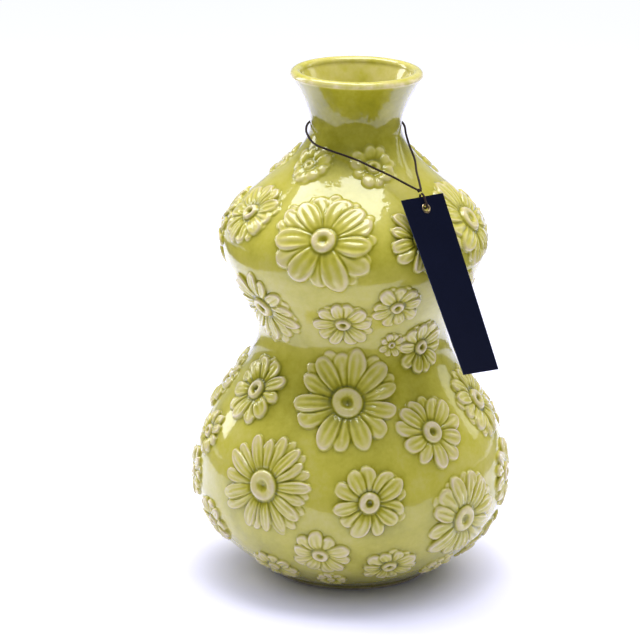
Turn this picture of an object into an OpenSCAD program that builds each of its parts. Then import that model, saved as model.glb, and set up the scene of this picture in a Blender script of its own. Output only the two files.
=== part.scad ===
// Glazed gourd vase with applied clay flowers and a card tag on a neck cord.
// Millimetres. +Z is up, the front faces -Y, and the origin is the middle of the base.

/* [Outline] */
// Height of the vase from the table to the top of the lip
vase_h = 302; // [285:1:340]
// Radius of the foot's outer edge
foot_r = 46.5; // [40:0.5:60]
// Height of the upright band round the foot
foot_h = 2; // [1.5:0.5:4]
// Greatest radius of the lower gourd
belly_r = 92; // [84:1:100]
// Height of the lower gourd's widest place, as a share of the vase's
belly_z_share = 0.1954; // [0.17:0.005:0.23]
// Radius of the waist between the gourds
waist_r = 56.2; // [50:0.2:64]
// Height of the waist, as a share of the vase's
waist_z_share = 0.49; // [0.46:0.005:0.52]
// Greatest radius of the upper gourd
bulb_r = 77; // [70:1:84]
// Height of the upper gourd's widest place, as a share of the vase's
bulb_z_share = 0.6656; // [0.64:0.005:0.7]
// Radius of the neck at its narrowest
neck_r = 26.4; // [23:0.2:30]
// Height of the neck's narrowest place, as a share of the vase's
neck_z_share = 0.894; // [0.885:0.005:0.92]
// Radius of the flared rim
rim_r = 38.6; // [35:0.2:48]

/* [Wall] */
// Thickness of the gourds' walls, square to the surface
wall_t = 6.5; // [4:0.5:9]
// Thickness of the neck's wall, square to the surface
neck_wall_t = 5.6; // [4:0.2:7]
// Thickness of the rounded lip
lip_t = 6.8; // [5:0.2:9]
// Thickness of the floor
floor_t = 7; // [5:0.5:12]
// Width of the ring that the vase stands on
foot_w = 8; // [5:0.5:14]
// Depth of the hollow under the floor
foot_hollow = 2; // [1:0.5:4]
// Height of the seam between the upper gourd and the neck, as a share of the vase's
collar_z_share = 0.8675; // [0.86:0.005:0.88]

/* [Flowers] */
// Reach of the largest flower from its middle to a petal's tip, as a share of the vase's height
flower_high_share = 0.1043; // [0.09:0.005:0.11]
// Greatest reach of a flower on the lower gourd, as a share of that gourd's radius
lower_flower_share = 0.3424; // [0.28:0.01:0.36]
// Greatest reach of a flower on the upper gourd, as a share of that gourd's radius
upper_flower_share = 0.4091; // [0.34:0.01:0.42]
// How far a petal stands out from the wall
petal_h = 2.4; // [1.6:0.1:3]
// How far the ring in a flower's middle stands out from the wall
ring_h = 2.6; // [1.8:0.1:3.2]
// How deep a flower's rim is pressed into the scored wall
press_d = 0.6; // [0.4:0.1:1.2]
// How deep the back of a flower is keyed into the wall
key_d = 2.6; // [2:0.1:3.4]

/* [Tag] */
// Width of the card
card_w = 30; // [24:0.5:34]
// Length of the card
card_l = 106; // [90:1:120]
// Thickness of the card
card_t = 0.7; // [0.5:0.1:1]
// Turn of the card's lower edge against its upper one, in degrees
card_curl = 12; // [0:1:18]
// Distance from the card's upper edge to the eyelet's middle
hole_drop = 7.2; // [6:0.2:10]
// Inner diameter of the eyelet
eyelet_bore = 3.2; // [2.8:0.1:4]
// Outer diameter of the eyelet's flanges
eyelet_d = 5.8; // [5:0.1:8]
// Thickness of each eyelet flange
flange_t = 0.4; // [0.3:0.05:0.6]
// Thickness of the eyelet's tube
eyelet_wall = 0.4; // [0.3:0.05:0.5]
// Diameter of the neck cord
cord_d = 1.4; // [1.2:0.1:1.6]

/* [Hidden] */
$fn = 96;
glaze_lime = "YellowGreen";
glaze_pale = "DarkKhaki";
// How the outline leaves the foot and fills out below the belly
foot_curve_share = 2.2;
// How the outline leans between its turning heights
waist_lean_share = 1.28;
bulb_lean_share = 0.95;
shoulder_lean_share = 1.06;
flare_share = 1.55;
// Running clearance between pieces that move
gap = 0.4;
// Overrun of cuts past the faces that they open
over = 1;
// Fineness of the outline, as shares of the height
outline_step_share = 1 / 80;
slope_step_share = 1 / 1500;

belly_z = vase_h * belly_z_share;
waist_z = vase_h * waist_z_share;
bulb_z = vase_h * bulb_z_share;
neck_z = vase_h * neck_z_share;
collar_z = vase_h * collar_z_share;

// Turn from one facet of the lip to the next, in degrees
lip_turn = 15;
lip_r = lip_t / 2;
lip_z = vase_h - lip_r;

// Outline
// Half a wave from 0 to 1, upright at both ends and shifted by lean
function eased(t, lean) = (1 - cos(180 * pow(min(max(t, 0), 1), lean))) / 2;

// Outer radius of the bare wall at a height
function outer_r(z) =
    z < belly_z ? belly_r - (belly_r - foot_r)
        * pow(min((belly_z - z) / (belly_z - foot_h), 1), foot_curve_share)
  : z < waist_z ? belly_r + (waist_r - belly_r)
        * eased((z - belly_z) / (waist_z - belly_z), waist_lean_share)
  : z < bulb_z ? waist_r + (bulb_r - waist_r)
        * eased((z - waist_z) / (bulb_z - waist_z), bulb_lean_share)
  : z < neck_z ? bulb_r + (neck_r - bulb_r)
        * eased((z - bulb_z) / (neck_z - bulb_z), shoulder_lean_share)
  : neck_r + (rim_r - neck_r)
        * pow(min((z - neck_z) / (lip_z - neck_z), 1), flare_share);

// Change of the outer radius with height
function slope(z) =
    let (dz = vase_h * slope_step_share, a = max(z - dz, foot_h), b = min(z + dz, lip_z))
    (outer_r(b) - outer_r(a)) / (b - a);

// How much longer the wall is than it is high, at a height
function stretch(z) = sqrt(1 + pow(slope(z), 2));

// Inner radius, at the wall's thickness square to its surface
function inner_r(z, wall) = outer_r(z) - wall * stretch(z);

// Heights from a to b, evenly spaced
function heights(a, b) =
    let (n = ceil((b - a) / (vase_h * outline_step_share)))
    [for (i = [0 : n]) a + (b - a) * i / n];

// Height reached by going the distance s up along the wall
function climb(z, s, steps = 10) =
    steps == 0 ? z
  : climb(max(z + s / steps / stretch(z), foot_h), s - s / steps, steps - 1);

// Point beside the wall: u across and v up the wall from a middle, lifted off it
function on_wall(az, z, u, v, lift) =
    let (
        h = climb(z, v),
        a = az + u / outer_r(h) * 180 / PI,
        r = outer_r(h) + lift / stretch(h)
    )
    [r * sin(a), -r * cos(a), h - lift * slope(h) / stretch(h)];

// Vessel
floor_z = foot_hollow + floor_t;

module lower_gourd() {
    outer = [for (z = heights(foot_h, waist_z)) [outer_r(z), z]];
    inner = [for (z = heights(floor_z, waist_z)) [inner_r(z, wall_t), z]];
    back = [for (i = [len(inner) - 1 : -1 : 0]) inner[i]];
    color(glaze_lime)
        rotate_extrude()
            polygon(concat(
                [[0, foot_hollow], [foot_r - foot_w, foot_hollow]],
                [[foot_r - foot_w, 0], [foot_r, 0]],
                outer,
                back,
                [[0, floor_z]]
            ));
}

module upper_gourd() {
    outer = [for (z = heights(waist_z, collar_z)) [outer_r(z), z]];
    inner = [for (z = heights(waist_z, collar_z)) [inner_r(z, wall_t), z]];
    back = [for (i = [len(inner) - 1 : -1 : 0]) inner[i]];
    color(glaze_lime)
        rotate_extrude()
            polygon(concat(outer, back));
}

module neck() {
    outer = [for (z = heights(collar_z, lip_z)) [outer_r(z), z]];
    lip = [
        for (a = [lip_turn : lip_turn : 180 - lip_turn])
        [rim_r - lip_r + lip_r * cos(a), lip_z + lip_r * sin(a)]
    ];
    top_r = rim_r - lip_t;
    collar_inner = inner_r(collar_z, wall_t);
    throat_r = neck_r - neck_wall_t;
    inner = [
        for (z = heights(collar_z, lip_z))
        [
            z < neck_z
            ? collar_inner + (throat_r - collar_inner) * eased((z - collar_z) / (neck_z - collar_z), 1)
            : throat_r + (top_r - throat_r) * pow((z - neck_z) / (lip_z - neck_z), flare_share),
            z
        ]
    ];
    back = [for (i = [len(inner) - 1 : -1 : 0]) inner[i]];
    color(glaze_lime)
        rotate_extrude()
            polygon(concat(outer, lip, back));
}

// Flowers
// The largest flower's reach on each gourd is the smaller of two, so that it fits round it and up it
lower_flower_r = min(vase_h * flower_high_share, belly_r * lower_flower_share);
upper_flower_r = min(vase_h * flower_high_share, bulb_r * upper_flower_share);
// Each row is [azimuth in degrees, share of the gourd's height, share of that reach, petals, turn].
upper_shares = [
    [-14, 0.61, 0.96, 13, 4],
    [-63, 0.66, 0.66, 11, 9],
    [-45, 0.90, 0.42, 9, 0],
    [17, 0.91, 0.44, 10, 12],
    [32, 0.60, 0.64, 11, 20],
    [71, 0.63, 0.86, 12, 6],
    [-52, 0.20, 0.80, 13, 15],
    [-5, 0.17, 0.54, 10, 2],
    [21, 0.27, 0.50, 9, 18],
    [44, 0.00, 0.54, 10, 8],
    [23, 0.04, 0.26, 8, 0],
    [58, 0.30, 0.42, 9, 14],
    [112, 0.50, 0.78, 12, 11],
    [124, 0.84, 0.54, 10, 0],
    [93, 0.14, 0.64, 11, 9],
    [138, 0.18, 0.72, 12, 7],
    [161, 0.58, 0.94, 14, 5],
    [-176, 0.16, 0.66, 11, 16],
    [-156, 0.88, 0.48, 10, 10],
    [-146, 0.46, 0.80, 12, 1],
    [-99, 0.52, 0.80, 13, 13],
    [-106, 0.86, 0.46, 9, 6],
    [-126, 0.08, 0.66, 11, 2]
];
lower_shares = [
    [-2, 0.82, 1.00, 13, 5],
    [-54, 0.81, 0.68, 11, 10],
    [36, 0.70, 0.70, 11, 0],
    [-33, 0.50, 0.95, 17, 8],
    [7, 0.47, 0.70, 11, 14],
    [46, 0.35, 0.86, 12, 3],
    [-11, 0.24, 0.55, 10, 9],
    [17, 0.18, 0.52, 10, 0],
    [-9, 0.09, 0.30, 9, 12],
    [-37, 0.13, 0.46, 10, 6],
    [-72, 0.61, 0.46, 10, 15],
    [-81, 0.42, 0.50, 11, 4],
    [-64, 0.27, 0.48, 10, 0],
    [76, 0.74, 0.76, 12, 7],
    [80, 0.44, 0.64, 11, 13],
    [47, 0.12, 0.36, 9, 1],
    [80, 0.16, 0.66, 11, 10],
    [110, 0.62, 0.60, 10, 5],
    [122, 0.84, 0.72, 12, 0],
    [117, 0.28, 0.84, 13, 3],
    [147, 0.58, 0.92, 14, 9],
    [158, 0.18, 0.72, 12, 2],
    [-174, 0.82, 0.80, 12, 6],
    [-170, 0.44, 0.76, 12, 12],
    [-136, 0.62, 0.88, 13, 3],
    [-144, 0.22, 0.84, 13, 8],
    [-98, 0.76, 0.72, 12, 11],
    [-108, 0.38, 0.62, 11, 0],
    [-98, 0.14, 0.62, 10, 8]
];

// Shares of a flower's reach at which its surface turns
ring_crest_share = 0.17;
ring_foot_share = 0.29;
petal_rise_share = 0.42;
petal_broad_share = 0.80;
notch_broad_share = 0.58;
notch_tip_share = 0.74;
// Shares of the heights
dimple_share = 0.3;
ring_foot_h_share = 0.15;
petal_rise_h_share = 0.85;
notch_h_share = 0.1;
// Half of a petal's flat top, as a share of the turn from petal to petal
petal_top_share = 0.24;
// How much the petals' lengths differ
petal_uneven_share = 0.07;
// Turn from one uneven petal to the next, in degrees
uneven_turn = 137;

// Length of one petal as a share of the longest, so that no two neighbours are alike
function petal_reach(i, petals) = 1 - petal_uneven_share * (1 + sin(uneven_turn * (i % petals))) / 2;

// Point of a flower, at a share of its reach and an angle from its turned axis
function flower_point(az, z, reach, turn, share, angle, lift) =
    on_wall(az, z, reach * share * sin(angle + turn), reach * share * cos(angle + turn), lift);

// One flower as a closed surface: a dimpled ring, notched petals and a keyed back.
// A petal has three columns: the notch before it and its two shoulders.
module flower(az, z, reach, petals, turn) {
    step = 360 / petals;
    rows = [
        // each row is [share at the notch, share at the shoulders, lift at the notch, lift there]
        [ring_crest_share, ring_crest_share, ring_h, ring_h],
        [ring_foot_share, ring_foot_share, ring_h * ring_foot_h_share, ring_h * ring_foot_h_share],
        [petal_rise_share, petal_rise_share, petal_h * notch_h_share, petal_h * petal_rise_h_share],
        [notch_broad_share, petal_broad_share, petal_h * notch_h_share, petal_h],
        [notch_tip_share, 1, -press_d, -press_d]
    ];
    n = 3 * petals;
    top = [
        for (row = rows, i = [0 : petals - 1], k = [0 : 2])
        let (
            angle = step * (i + (k == 0 ? 0 : 0.5 + (2 * k - 3) * petal_top_share)),
            share = k == 0 ? row[0] : row[1] * (row[1] > petal_rise_share ? petal_reach(i, petals) : 1)
        )
        flower_point(az, z, reach, turn, share, angle, k == 0 ? row[2] : row[3])
    ];
    back = [
        for (i = [0 : petals - 1])
        flower_point(az, z, reach, turn, petal_rise_share, step * i, -key_d)
    ];
    dimple = on_wall(az, z, 0, 0, ring_h * dimple_share);
    key = on_wall(az, z, 0, 0, -key_d);
    points = concat(top, back, [dimple, key]);
    last = (len(rows) - 1) * n;
    back_at = len(rows) * n;
    dimple_at = back_at + petals;
    key_at = dimple_at + 1;
    bands = [
        for (b = [0 : len(rows) - 2], j = [0 : n - 1])
        let (p = b * n + j, q = b * n + (j + 1) % n)
        each [[p, p + n, q], [q, p + n, q + n]]
    ];
    rims = [
        for (i = [0 : petals - 1], k = [0 : 2])
        let (j = last + 3 * i + k, next = last + (3 * i + k + 1) % n)
        [j, back_at + i, next]
    ];
    backs = [
        for (i = [0 : petals - 1])
        let (next = (i + 1) % petals)
        each [
            [last + 3 * next, back_at + i, back_at + next],
            [back_at + i, key_at, back_at + next]
        ]
    ];
    middle = [for (j = [0 : n - 1]) [dimple_at, j, (j + 1) % n]];
    color(glaze_pale)
        polyhedron(points, concat(bands, rims, backs, middle));
}

module upper_flower(i) {
    f = upper_shares[i];
    flower(f[0], waist_z + (collar_z - waist_z) * f[1], upper_flower_r * f[2], f[3], f[4]);
}

module lower_flower(i) {
    f = lower_shares[i];
    flower(f[0], waist_z * f[1], lower_flower_r * f[2], f[3], f[4]);
}

// Tag on its cord
// Place of the eyelet's middle beside the wall
tag_az = 38;
card_out = 9.5;
eyelet_z_share = 0.7715;
eyelet_z = vase_h * eyelet_z_share;
// Height of the knot above the card's upper edge, and its diameter
knot_rise = 4;
knot_d = 3;
// Distance of the eyelet from the vase's axis, and of the knot above the eyelet
eyelet_r = outer_r(eyelet_z) + card_out;
// The card leans out, so that its line passes this far outside the upper gourd's widest place
card_clear = 8.7;
tag_lean = atan((bulb_r + card_clear - eyelet_r) / (eyelet_z - bulb_z));
knot_up = hole_drop + knot_rise;

module at_eyelet() {
    translate([eyelet_r * sin(tag_az), -eyelet_r * cos(tag_az), eyelet_z])
        rotate([-tag_lean, 0, tag_az])
            children();
}

module tag_card() {
    color("MidnightBlue")
        at_eyelet()
            difference() {
                translate([0, 0, hole_drop])
                    rotate([0, 0, -card_curl * hole_drop / card_l])
                        mirror([0, 0, 1])
                            linear_extrude(card_l, twist = -card_curl, slices = 12, $fn = 8)
                                square([card_w, card_t], center = true);
                rotate([90, 0, 0])
                    cylinder(d = eyelet_bore + 2 * eyelet_wall, h = card_t + 2 * over, center = true);
            }
}

module tag_eyelet() {
    bore_r = eyelet_bore / 2;
    tube_r = bore_r + eyelet_wall;
    flange_r = eyelet_d / 2;
    half = card_t / 2;
    color("Goldenrod")
        at_eyelet()
            rotate([90, 0, 0])
                rotate_extrude()
                    polygon([
                        [bore_r, -half - flange_t],
                        [flange_r, -half - flange_t],
                        [flange_r, -half],
                        [tube_r, -half],
                        [tube_r, half],
                        [flange_r, half],
                        [flange_r, half + flange_t],
                        [bore_r, half + flange_t]
                    ]);
}

// Cord
// The route round the neck, from the knot up the right strand and back down the left one
cord_route = [
    [37.5, -46.5, 243],
    [36.5, -40, 246],
    [35, -32, 250],
    [34, -22, 254.5],
    [31, -14, 260.5],
    [29, -7, 265.5],
    [28, 2, 268.5],
    [25, 12, 269.5],
    [18, 21.5, 269.5],
    [8.5, 26.5, 269],
    [-2, 28, 269],
    [-12, 25.5, 269],
    [-20.5, 19, 269],
    [-26.5, 9, 268.5],
    [-28.6, -2, 267.7],
    [-27.9, -12.2, 265.9],
    [-23.8, -21.7, 262.7],
    [-16.6, -28.9, 261.2],
    [-8.2, -33.6, 259.5],
    [1, -36.9, 257],
    [11, -39.5, 253],
    [21, -42, 249],
    [30, -45, 245],
    [35.8, -47.2, 242.6],
];
cord_sides = 8;
rings_per_leg = 3;

// Point on the smooth curve through a route, a share t past its point i
function route_at(route, i, t) =
    let (
        last = len(route) - 1,
        a = route[max(i - 1, 0)],
        b = route[i],
        c = route[min(i + 1, last)],
        d = route[min(i + 2, last)]
    )
    b + t * (c - a) / 2 + t * t * (a - 2.5 * b + 2 * c - d / 2)
    + t * t * t * (3 * b - a - 3 * c + d) / 2;

function unit(v) = v / norm(v);

// Round tube along a route. Across is a direction that no stretch of the route follows.
module tube(route, across) {
    line = [
        for (i = [0 : len(route) - 2], k = [0 : rings_per_leg - 1])
        route_at(route, i, k / rings_per_leg),
        route[len(route) - 1]
    ];
    last = len(line) - 1;
    points = [
        for (i = [0 : last])
        let (
            along = unit(line[min(i + 1, last)] - line[max(i - 1, 0)]),
            side = unit(cross(along, across)),
            up = cross(side, along)
        )
        for (k = [0 : cord_sides - 1])
        let (a = 360 * k / cord_sides)
        line[i] + cord_d / 2 * (side * cos(a) + up * sin(a))
    ];
    walls = [
        for (i = [0 : last - 1], k = [0 : cord_sides - 1])
        let (p = i * cord_sides + k, q = i * cord_sides + (k + 1) % cord_sides)
        each [[p, q, p + cord_sides], [q, q + cord_sides, p + cord_sides]]
    ];
    start = [for (k = [cord_sides - 1 : -1 : 0]) k];
    end = [for (k = [0 : cord_sides - 1]) last * cord_sides + k];
    color("SaddleBrown")
        polyhedron(points, concat(walls, [start], [end]));
}

module neck_cord() {
    tube(cord_route, [0, 0, 1]);
}

module cord_knot() {
    color("SaddleBrown")
        at_eyelet()
            translate([0, 0, knot_up])
                sphere(d = knot_d);
}

// One side of the doubled cord's bend through the eyelet, from its middle outwards.
// Each row is [share of the way out past the flange, share of the bore's radius].
bend_shares = [[0, 0.2], [0.4, 0.28], [0.78, 0.5], [1, 1.1]];
// Half of the distance between the doubled cord's ends at the knot, as a share of its diameter
bight_end_share = 0.6;

// The doubled cord from the knot over the card's edge and through the eyelet
module tag_bight() {
    out = card_t / 2 + flange_t + gap + cord_d / 2;
    half = [
        for (p = bend_shares) [out * p[0], eyelet_bore / 2 * p[1]],
        [out, hole_drop / 2],
        [out, hole_drop],
        [bight_end_share * cord_d, knot_up - (knot_d + cord_d) / 2]
    ];
    route = concat(
        [for (i = [len(half) - 1 : -1 : 1]) [0, -half[i][0], half[i][1]]],
        [for (p = half) [0, p[0], p[1]]]
    );
    at_eyelet()
        tube(route, [1, 0, 0]);
}

upper_names = [for (i = [1 : len(upper_shares)]) str("upper_flower_", i)];
lower_names = [for (i = [1 : len(lower_shares)]) str("lower_flower_", i)];

lower_gourd();
upper_gourd();
neck();
for (i = [0 : len(lower_shares) - 1])
    lower_flower(i);
for (i = [0 : len(upper_shares) - 1])
    upper_flower(i);
neck_cord();
cord_knot();
tag_bight();
tag_eyelet();
tag_card();
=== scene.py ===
import math

import bpy
import numpy as np
from mathutils import Matrix, Vector


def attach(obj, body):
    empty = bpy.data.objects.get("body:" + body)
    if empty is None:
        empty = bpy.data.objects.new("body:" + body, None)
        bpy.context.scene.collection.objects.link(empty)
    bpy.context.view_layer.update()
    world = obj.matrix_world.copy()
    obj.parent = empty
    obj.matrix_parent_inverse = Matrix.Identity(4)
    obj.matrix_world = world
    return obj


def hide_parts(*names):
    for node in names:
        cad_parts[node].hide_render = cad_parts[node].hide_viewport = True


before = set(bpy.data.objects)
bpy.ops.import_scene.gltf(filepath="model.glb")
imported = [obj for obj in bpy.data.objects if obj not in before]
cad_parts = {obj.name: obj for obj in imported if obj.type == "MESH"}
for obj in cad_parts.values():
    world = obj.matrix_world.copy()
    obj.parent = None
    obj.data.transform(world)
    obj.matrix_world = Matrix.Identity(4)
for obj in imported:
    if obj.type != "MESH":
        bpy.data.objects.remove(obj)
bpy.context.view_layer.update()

MM = 0.001  # sizes are in millimetres, as in part.scad, and meshes are made in metres
TAU = 2 * math.pi

# Sizes repeated from part.scad
VASE_H = 302.0
FOOT_R, FOOT_H, FOOT_W, FOOT_HOLLOW = 46.5, 2.0, 8.0, 2.0
BELLY_R, WAIST_R, BULB_R, NECK_R, RIM_R = 92.0, 56.2, 77.0, 26.4, 38.6
BELLY_Z, WAIST_Z, BULB_Z = VASE_H * 0.1954, VASE_H * 0.49, VASE_H * 0.6656
NECK_Z, COLLAR_Z, EYELET_Z = VASE_H * 0.894, VASE_H * 0.8675, VASE_H * 0.7715
WALL_T, NECK_WALL_T, LIP_T, FLOOR_T = 6.5, 5.6, 6.8, 7.0
FOOT_CURVE, WAIST_LEAN, BULB_LEAN, SHOULDER_LEAN = 2.2, 1.28, 0.95, 1.06
LIP_R = LIP_T / 2
LIP_Z = VASE_H - LIP_R
FLOWER_R, PETAL_H, RING_H, KEY_D = 31.5, 2.4, 2.6, 2.6
CARD_W, CARD_L, CARD_T, CARD_CURL, HOLE_DROP = 30.0, 106.0, 0.7, 12.0, 7.2
EYELET_BORE, EYELET_D, FLANGE_T = 3.2, 5.8, 0.4
CORD_D, KNOT_D, KNOT_RISE, GAP = 1.4, 3.0, 4.0, 0.4
TAG_AZ, CARD_OUT, CARD_CLEAR = 38.0, 9.5, 8.7

# The flare's power is a little lower than the solid's, and the flare starts softly over a share of its height
FLARE, FLARE_START = 1.5, 0.04
SLOPE_STEP = VASE_H / 1500


# Outline of the vase
def eased(t, lean):
    return (1 - np.cos(np.pi * np.clip(t, 0, 1) ** lean)) / 2


def outer_r(z):
    """Outer radius of the bare wall at a height."""
    z = np.asarray(z, float)
    low = BELLY_R - (BELLY_R - FOOT_R) * np.clip((BELLY_Z - z) / (BELLY_Z - FOOT_H), 0, 1) ** FOOT_CURVE
    waist = BELLY_R + (WAIST_R - BELLY_R) * eased((z - BELLY_Z) / (WAIST_Z - BELLY_Z), WAIST_LEAN)
    bulb = WAIST_R + (BULB_R - WAIST_R) * eased((z - WAIST_Z) / (BULB_Z - WAIST_Z), BULB_LEAN)
    shoulder = BULB_R + (NECK_R - BULB_R) * eased((z - BULB_Z) / (NECK_Z - BULB_Z), SHOULDER_LEAN)
    up = np.clip((z - NECK_Z) / (LIP_Z - NECK_Z), 0, 1)
    up = (np.sqrt(up**2 + FLARE_START**2) - FLARE_START) / (math.sqrt(1 + FLARE_START**2) - FLARE_START)
    flare = NECK_R + (RIM_R - NECK_R) * up**FLARE
    return np.select([z < BELLY_Z, z < WAIST_Z, z < BULB_Z, z < NECK_Z], [low, waist, bulb, shoulder], flare)


def slope(z):
    """Change of the radius with height."""
    z = np.asarray(z, float)
    a, b = np.maximum(z - SLOPE_STEP, FOOT_H), np.minimum(z + SLOPE_STEP, LIP_Z)
    return (outer_r(b) - outer_r(a)) / (b - a)


def stretch(z):
    """Distance along the wall for each unit of height."""
    return np.sqrt(1 + slope(z) ** 2)


Z_TABLE = np.linspace(FOOT_H, LIP_Z, 3001)
MEAN_STRETCH = (stretch(Z_TABLE[1:]) + stretch(Z_TABLE[:-1])) / 2
S_TABLE = np.concatenate([[0], np.cumsum(MEAN_STRETCH * np.diff(Z_TABLE))])


def arc_at(z):
    """Distance up the wall from the foot, at a height."""
    return np.interp(z, Z_TABLE, S_TABLE)


def height_at(s):
    return np.interp(s, S_TABLE, Z_TABLE)


# Waves of the wall: times round it, turn for each mm up it, and phase
WAVE_COUNT = 9
wave_draw = np.random.default_rng(11)
WAVES = [
    (int(n), float(k), float(p))
    for n, k, p in zip(
        wave_draw.integers(2, 9, WAVE_COUNT),
        wave_draw.uniform(0.02, 0.085, WAVE_COUNT),
        wave_draw.uniform(0, TAU, WAVE_COUNT),
    )
]
BROAD_WAVE, SMALL_WAVE = 0.15, 0.035  # mm
STILL_Z, STILL_FADE, FOOT_FADE = 250.0, 14, 25  # mm; the wall is even above this height, where the cord turns


def wobble(az, s):
    """Slight unevenness of the hand-finished wall, in mm."""
    size = math.sqrt(WAVE_COUNT)
    broad = sum(np.cos(n * az + k * s + p) for n, k, p in WAVES) / size
    small = sum(np.cos(3 * n * az + 4 * k * s + 2 * p) for n, k, p in WAVES) / size
    fade = np.clip((arc_at(STILL_Z) - s) / STILL_FADE, 0, 1) * np.clip(s / FOOT_FADE, 0, 1)
    return (BROAD_WAVE * broad + SMALL_WAVE * small) * fade


def on_wall(az, s, lift):
    """Point at azimuth az (radians), distance s up the wall, lifted square to it."""
    z = height_at(s)
    h = lift + wobble(az, s)
    k = stretch(z)
    r = outer_r(z) + h / k
    return np.stack([r * np.sin(az), -r * np.cos(az), z - h * slope(z) / k], -1)


# Object and mesh helpers
def new_object(name, data):
    obj = bpy.data.objects.new(name, data)
    bpy.context.scene.collection.objects.link(obj)
    return obj


def add_mesh(name, points, faces, materials, face_slots=None, values=None):
    """Smooth-shaded mesh from points in metres. values holds one number for each point under each key."""
    mesh = bpy.data.meshes.new(name)
    mesh.from_pydata(np.asarray(points, float).reshape(-1, 3).tolist(), [], faces)
    for m in materials:
        mesh.materials.append(m)
    if face_slots is not None:
        mesh.polygons.foreach_set("material_index", np.asarray(face_slots, np.int32))
    for key, value in (values or {}).items():
        layer = mesh.attributes.new(key, "FLOAT", "POINT")
        layer.data.foreach_set("value", np.asarray(value, np.float32))
    mesh.polygons.foreach_set("use_smooth", np.full(len(mesh.polygons), True))
    mesh.update()
    return new_object(name, mesh)


def band(first, second, count):
    """Quads between two closed rings of count vertices that start at first and second."""
    return [(first + i, first + (i + 1) % count, second + (i + 1) % count, second + i) for i in range(count)]


def bands(rings, count, start=0):
    """Quads between all neighbours in a stack of closed rings."""
    faces = []
    for i in range(rings - 1):
        faces += band(start + i * count, start + (i + 1) * count, count)
    return faces


def place(obj, body, node_name):
    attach(obj, body)
    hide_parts(node_name)
    return obj


# Camera, fitted to the vase's outline
IMAGE_W, SENSOR_W, FOCAL = 640.0, 36.0, 3694.33  # pixels, mm and pixels
CAMERA_Y, CAMERA_Z, CLIP_NEAR, CLIP_FAR = -2.082, 0.758, 0.05, 60.0  # m
YAW, PITCH, ROLL = (math.radians(a) for a in (-0.5291, 16.2512, 0.7858))


def add_camera():
    data = bpy.data.cameras.new("camera")
    data.sensor_width = SENSOR_W
    data.lens = FOCAL * SENSOR_W / IMAGE_W
    data.clip_start, data.clip_end = CLIP_NEAR, CLIP_FAR
    camera = new_object("camera", data)
    ahead = Vector((math.sin(YAW) * math.cos(PITCH), math.cos(YAW) * math.cos(PITCH), -math.sin(PITCH)))
    right = Vector((math.cos(YAW), -math.sin(YAW), 0))
    above = right.cross(ahead)
    c, s = math.cos(ROLL), math.sin(ROLL)
    side, up = c * right + s * above, -s * right + c * above
    rows = list(zip(side, up, -ahead, (0.0, CAMERA_Y, CAMERA_Z)))
    camera.matrix_world = Matrix(rows + [(0, 0, 0, 1)])
    bpy.context.scene.camera = camera


add_camera()


# Shader helpers
def feed(tree, n, inputs):
    """Sets each input of a node, by its name or number, to a value, or links it to a socket."""
    for key, v in inputs.items():
        if isinstance(v, bpy.types.NodeSocket):
            tree.links.new(v, n.inputs[key])
        else:
            n.inputs[key].default_value = v


def node(tree, kind, inputs=None, **settings):
    n = tree.nodes.new("ShaderNode" + kind)
    for key, value in settings.items():
        setattr(n, key, value)
    feed(tree, n, inputs or {})
    return n


def new_material(name, kind="BsdfPrincipled"):
    m = bpy.data.materials.new(name)
    m.use_nodes = True
    m.node_tree.nodes.clear()
    shader = node(m.node_tree, kind)
    node(m.node_tree, "OutputMaterial", {0: shader.outputs[0]})
    return m, m.node_tree, shader


def object_coords(tree):
    return node(tree, "TexCoord").outputs["Object"]


def math_node(tree, operation, a, b):
    return node(tree, "Math", {0: a, 1: b}, operation=operation).outputs[0]


def scaled(tree, value, gain, offset):
    return math_node(tree, "ADD", math_node(tree, "MULTIPLY", value, gain), offset)


def noise(tree, coords, scale, detail, rough=0.5, distort=0.0):
    inputs = {"Vector": coords, "Scale": scale, "Detail": detail, "Roughness": rough, "Distortion": distort}
    return node(tree, "TexNoise", inputs).outputs["Fac"]


def ramp(tree, factor, stops, mode="EASE"):
    n = node(tree, "ValToRGB", {0: factor})
    n.color_ramp.interpolation = mode
    while len(n.color_ramp.elements) < len(stops):
        n.color_ramp.elements.new(0.5)
    for e, (at, colour) in zip(n.color_ramp.elements, stops):
        e.position, e.color = at, (*colour, 1)
    return n.outputs["Color"]


def mix(tree, factor, a, b):
    return node(tree, "Mix", {0: factor, 6: a, 7: b}, data_type="RGBA").outputs[2]


def bump(tree, height, strength, distance, **more):
    inputs = {"Height": height, "Strength": strength, "Distance": distance, **more}
    return node(tree, "Bump", inputs).outputs[0]


def eased_range(tree, value, start, end, low, high):
    """Smooth step from low to high as the value goes from start to end."""
    inputs = {0: value, 1: start, 2: end, 3: low, 4: high}
    return node(tree, "MapRange", inputs, interpolation_type="SMOOTHSTEP").outputs[0]


def mix_shaders(tree, factor, first, second):
    return node(tree, "MixShader", {0: factor, 1: first, 2: second}).outputs[0]


# Colours of the glaze by its thickness, after the cream of the clay that shows where it is thinnest
LIME_STOPS = [
    (0.30, (0.61, 0.540, 0.165)),
    (0.46, (0.50, 0.452, 0.054)),
    (0.62, (0.315, 0.288, 0.011)),
    (0.80, (0.160, 0.156, 0.004)),
    (1.0, (0.065, 0.075, 0.002)),
]
WALL_CREAM, FLOWER_CREAM = (0.83, 0.71, 0.49), (0.69, 0.585, 0.345)
FILMED = (0.92, 0.93, 0.72)  # what a film of glaze takes from the cream
BARE_CLAY = [(0.3, (0.50, 0.43, 0.33)), (0.7, (0.66, 0.59, 0.47))]
USUAL_THICK, RELIEF_THINS = 0.45, -0.52
PATCH_GAIN, PATCH_LEAST = 1.7, 0.15  # how unevenly the relief thins the glaze


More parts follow.
